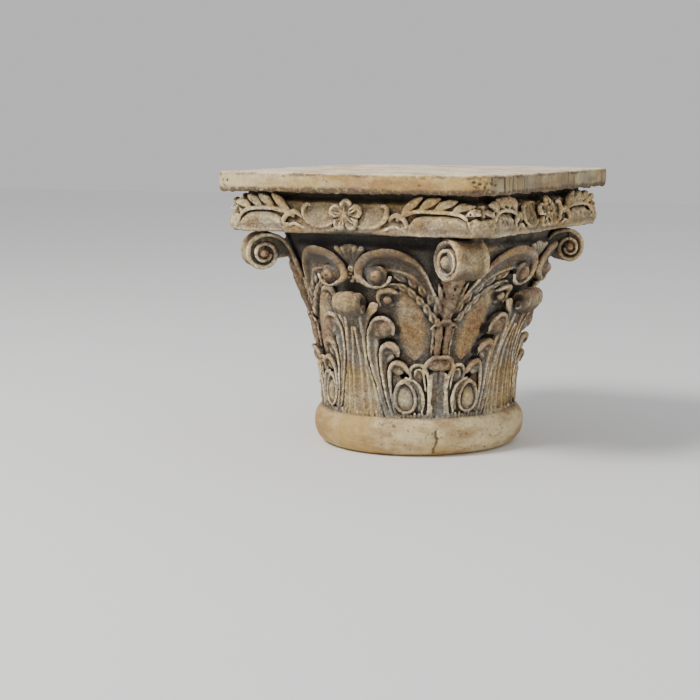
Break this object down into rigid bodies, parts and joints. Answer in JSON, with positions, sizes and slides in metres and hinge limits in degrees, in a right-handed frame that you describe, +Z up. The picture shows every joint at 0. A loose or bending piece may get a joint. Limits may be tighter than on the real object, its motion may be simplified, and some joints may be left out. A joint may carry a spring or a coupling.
{
  "type": "decorative pedestal",
  "caption": "Small decorative pedestal shaped as a Corinthian capital: square slab on a carved frieze, bell with acanthus leaves and corner volutes, and a rounded ring foot.",
  "frame": {"origin": "centre of the underside, on the vertical axis through the middle of the slab and the ring foot", "axes": "+Z up, X and Y square to the sides of the slab, -Y towards the wide face of the picture and +X towards its narrow one"},
  "size_m": [0.254, 0.254, 0.2286],
  "materials": {
    "cast_stone": "dull aged casting, ochre with a grey wash in the hollows"
  },
  "bodies": {
    "root": {"pedestal": "cast_stone"}
  },
  "joints": []
}
